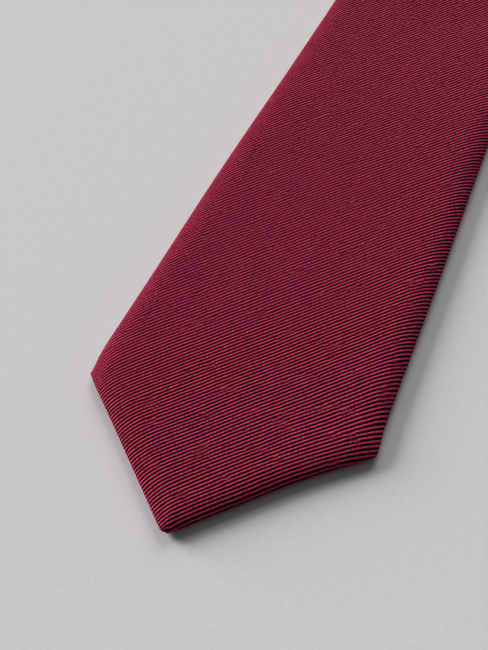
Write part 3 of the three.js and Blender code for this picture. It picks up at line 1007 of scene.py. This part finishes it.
def keeper_loop():
    """The band: a thin rounded section carried along its line."""
    u, h = keeper_line()
    step_u, step_h = np.gradient(u), np.gradient(h)
    step = np.hypot(step_u, step_h)
    run = np.cumsum(step)
    r = KEEPER_THICK / 2
    turn = np.linspace(-math.pi / 2, math.pi / 2, 5)
    flat = np.linspace(-1, 1, 9)[1:-1] * (KEEPER_WIDTH / 2 - r)
    out = np.concatenate([KEEPER_WIDTH / 2 - r + r * np.cos(turn), flat[::-1]])
    out = np.concatenate([out, -out])
    up = np.concatenate([r * np.sin(turn), r + 0 * flat])
    up = np.concatenate([up, -up])
    points_u = u[:, None] - (step_h / step)[:, None] * up
    points_h = h[:, None] + (step_u / step)[:, None] * up
    s = KEEPER_START + KEEPER_WIDTH / 2 + 0 * points_u + out
    rows, columns = points_u.shape
    faces = []
    for row in range(rows - 1):
        for column in range(columns):
            a, b = row * columns + column, row * columns + (column + 1) % columns
            faces.append((a, b, b + columns, a + columns))
    faces.append(tuple(range(columns))[::-1])
    faces.append(tuple(range((rows - 1) * columns, rows * columns)))
    cloth = np.stack([run[:, None] + 0 * s, s + np.sign(up) * 2 * r], axis=-1)
    piece = new_piece("keeper_band", place(points_u, s, points_h), faces, cloth, SILK)
    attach(piece, "front_blade")
    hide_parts("keeper_loop")
    return piece


def keeper_stitches(name, sign, node):
    """The stitches that sew down one tab of the keeper, left (-1) or right (1)."""
    middle = sign * (KEEPER_INSIDE + KEEPER_SLOPE + KEEPER_TAB / 2)
    start = KEEPER_START + KEEPER_MARGIN
    finish = KEEPER_START + KEEPER_WIDTH - KEEPER_MARGIN
    paths = [
        place(middle + KEEPER_STITCH, s + KEEPER_STITCH_SLANT * KEEPER_STITCH, KEEPER_STITCH_H)
        for s in spaced(start, finish, KEEPER_STITCH_STEP)
    ]
    piece = threads(name, paths, THREAD_RADIUS, THREAD)
    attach(piece, "front_blade")
    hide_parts(node)


keeper = keeper_loop()
keeper_stitches("keeper_stitches_left", -1, "keeper_tack_left")
keeper_stitches("keeper_stitches_right", 1, "keeper_tack_right")

# ---------------------------------------------------------------- labels, blank
LABEL_THICK = 0.34 * MM
LABEL_CLEAR = 0.05 * MM
LABEL_COLUMNS = 13
LABEL_WAVE = 0.05 * MM
LABEL_BEVEL = 0.08
LABEL_EDGE_THICK = 0.72
LABEL_STEP = 2 * MM
MAKER_START, MAKER_LENGTH, MAKER_HALF_WIDTH = 225 * MM, 28 * MM, 22 * MM
MAKER_MARGIN = 1.2 * MM
# The care label starts before its hinge, so that its sewn edge lies still
CARE_START, CARE_LENGTH, CARE_HALF_WIDTH = 1340.5 * MM, 30.5 * MM, 11 * MM
CARE_MARGIN = 1 * MM
CARE_STITCH_IN = 0.9 * MM
CARE_HINGE = 1345 * MM
CARE_ZONE = 2.6 * MM
CARE_STEP = 0.4 * MM
# One running stitch: how far along each point is, and its height over the label
RUN = MM * np.array([0, 0.3, 0.9, 1.5, 1.8])
RUN_H = -HALF - LABEL_CLEAR - LABEL_THICK + MM * np.array([0.2, -0.04, -0.08, -0.04, 0.2])
RUN_STEP = 2.9 * MM
RUN_RADIUS = 0.16 * MM


def label(name, s, half):
    """A thin woven rectangle on the back, a little thinner towards its two sides."""
    u, s = np.meshgrid(np.linspace(-half, half, LABEL_COLUMNS), s)
    edge = np.minimum(1 - np.abs(u) / half, LABEL_BEVEL) / LABEL_BEVEL
    thick = LABEL_THICK * (LABEL_EDGE_THICK + (1 - LABEL_EDGE_THICK) * edge)
    upper = -HALF - LABEL_CLEAR
    lower = upper - thick - LABEL_WAVE * relief(u, s)
    piece, _, at = slab(name, u, s, lower, upper, LABEL)
    return piece, at


def label_stitches(name, lines, body):
    """Running stitches along lines, each given as its start and end, (u, s)."""
    paths = []
    for (u0, s0), (u1, s1) in lines:
        length = math.hypot(u1 - u0, s1 - s0)
        for start in spaced(0, length - RUN[-1], RUN_STEP):
            t = (start + RUN) / length
            paths.append(place(u0 + t * (u1 - u0), s0 + t * (s1 - s0), RUN_H))
    piece = threads(name, paths, RUN_RADIUS, PALE_THREAD)
    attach(piece, body)


rows = spaced(MAKER_START, MAKER_START + MAKER_LENGTH, LABEL_STEP)
maker, _ = label("maker_label_cloth", rows, MAKER_HALF_WIDTH)
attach(maker, "front_blade")
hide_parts("maker_label")
u = MAKER_HALF_WIDTH - MAKER_MARGIN
low = MAKER_START + MAKER_MARGIN
high = MAKER_START + MAKER_LENGTH - MAKER_MARGIN
lines = [((-u, low), (-u, high)), ((u, low), (u, high))]
label_stitches("maker_label_stitches", lines, "front_blade")

rows = np.concatenate([
    spaced(CARE_START, CARE_HINGE + CARE_ZONE, CARE_STEP),
    spaced(CARE_HINGE + CARE_ZONE, CARE_START + CARE_LENGTH, LABEL_STEP)[1:],
])
care, at = label("care_label_cloth", rows, CARE_HALF_WIDTH)
bend_along(care, at)
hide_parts("care_label")
u = CARE_HALF_WIDTH - CARE_MARGIN
s = CARE_START + CARE_STITCH_IN
label_stitches("care_label_stitches", [((-u, s), (u, s))], "tail")

# ---------------------------------------------------------------- light and floor
FLOOR_SIZE = 30.0
FLOOR_GRAIN = 900.0
FLOOR_GRAIN_EDGE = (0.3, 0.7)
FLOOR_RELIEF = 0.02 * MM
FLOOR_DARK = rgb(206, 204, 207)
FLOOR_LIGHT = rgb(210, 208, 210)
LIGHT_COLOUR = (1.0, 0.985, 0.975)
SURROUND_COLOUR = (0.94, 0.95, 1.0, 1.0)
SURROUND_STRENGTH = 0.125


def make_floor():
    """A plain pale floor with a barely visible grain."""
    mesh = bpy.data.meshes.new("floor")
    r = FLOOR_SIZE / 2
    mesh.from_pydata([(-r, -r, 0), (r, -r, 0), (r, r, 0), (-r, r, 0)], [], [(0, 1, 2, 3)])
    floor = bpy.data.objects.new("floor", mesh)
    bpy.context.scene.collection.objects.link(floor)
    paint = Paint("floor", Roughness=0.8, Specular_IOR_Level=0.12)
    spot = paint.node("ShaderNodeTexCoord", {}, "Object")
    inputs = {"Vector": spot, "Scale": FLOOR_GRAIN, "Detail": 2.0}
    grain = paint.node("ShaderNodeTexNoise", inputs)
    soft = paint.remap(grain, *FLOOR_GRAIN_EDGE, 0.0, 1.0)
    colour = paint.mix(soft, FLOOR_DARK, FLOOR_LIGHT)
    mesh.materials.append(paint.finish(colour, grain, FLOOR_RELIEF, 0.3))


def soft_light(name, direction, elevation, spread, strength):
    """Light from a broad patch of the surround, spread degrees across; direction is in degrees
    from +X towards +Y."""
    data = bpy.data.lights.new(name, "SUN")
    data.energy = strength
    data.angle = math.radians(spread)
    data.color = LIGHT_COLOUR
    lamp = bpy.data.objects.new(name, data)
    bpy.context.scene.collection.objects.link(lamp)
    turn, rise = math.radians(direction), math.radians(elevation)
    level = math.cos(rise)
    away = Vector((math.cos(turn) * level, math.sin(turn) * level, math.sin(rise)))
    lamp.location = CAMERA_TARGET + away
    lamp.rotation_mode = "QUATERNION"
    lamp.rotation_quaternion = (-away).to_track_quat("-Z", "Y")


def make_light():
    """A low key light from the left, a light from behind, and a weak even surround."""
    soft_light("key", direction=166, elevation=15, spread=30, strength=6.25)
    soft_light("back", direction=97, elevation=27, spread=36, strength=1.95)
    world = bpy.data.worlds.new("world")
    world.use_nodes = True
    background = world.node_tree.nodes["Background"]
    background.inputs["Color"].default_value = SURROUND_COLOUR
    background.inputs["Strength"].default_value = SURROUND_STRENGTH
    bpy.context.scene.world = world
    bpy.context.scene.view_settings.view_transform = "Standard"


make_floor()
make_light()
